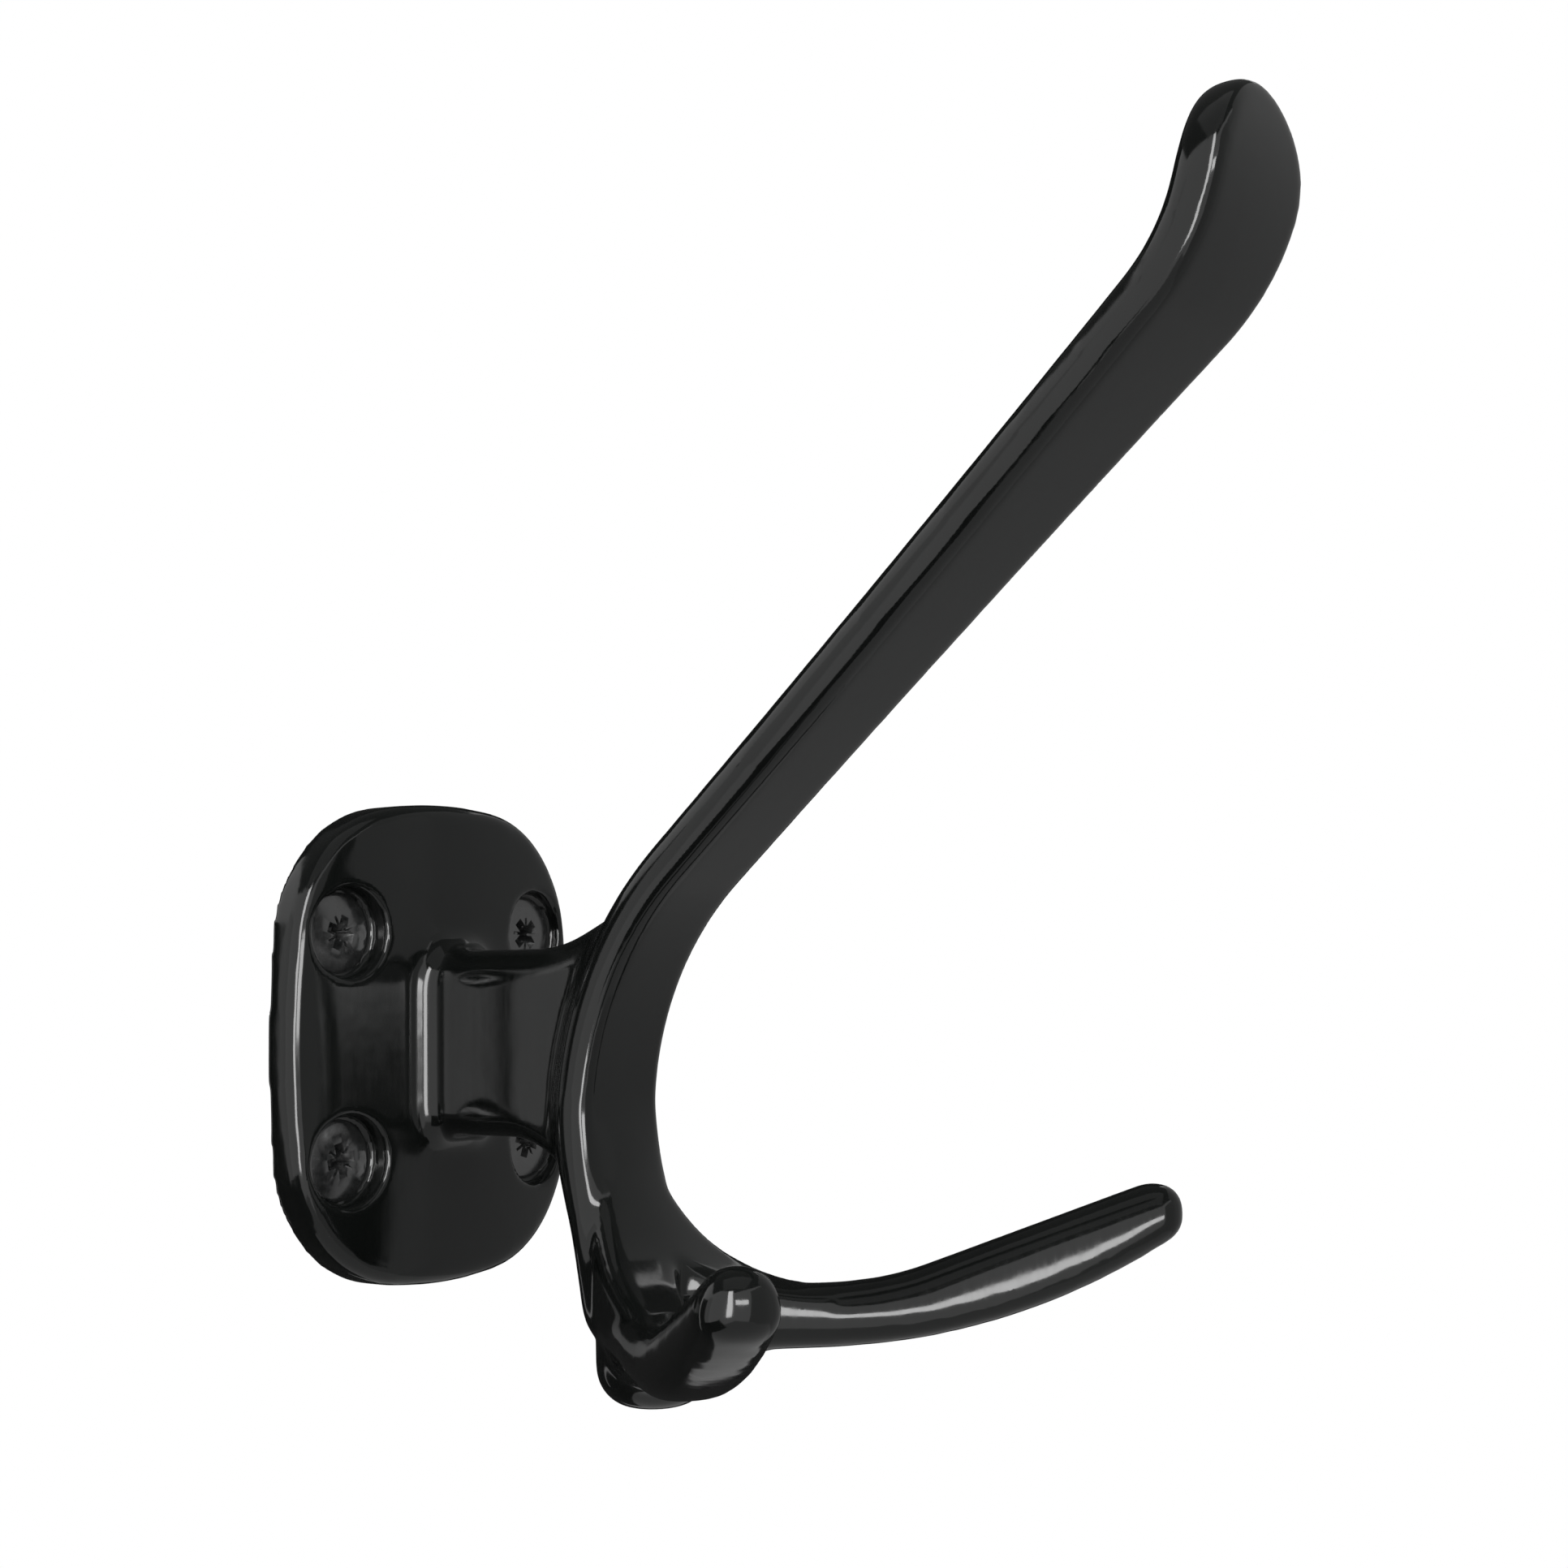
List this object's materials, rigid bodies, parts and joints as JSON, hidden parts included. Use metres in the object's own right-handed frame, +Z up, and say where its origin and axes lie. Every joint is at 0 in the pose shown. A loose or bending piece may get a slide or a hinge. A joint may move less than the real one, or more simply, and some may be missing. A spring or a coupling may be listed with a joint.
{
  "type": "coat hook",
  "caption": "Cast wall hook: a long upswept arm with a rounded spoon tip and short splayed lower prongs, on an oval plate held by countersunk screws.",
  "frame": {"origin": "middle of the oval plate's back face, on the wall plane", "axes": "+Y into the wall, square to the plate's back; +Z up along the plate's long axis; +X to the right"},
  "size_m": [0.0716, 0.1137, 0.1067],
  "materials": {
    "casting": "gloss black lacquer",
    "screws": "black zinc plate, satin"
  },
  "bodies": {
    "root": {"hook_body": "casting", "wall_screws": "screws"}
  },
  "joints": []
}
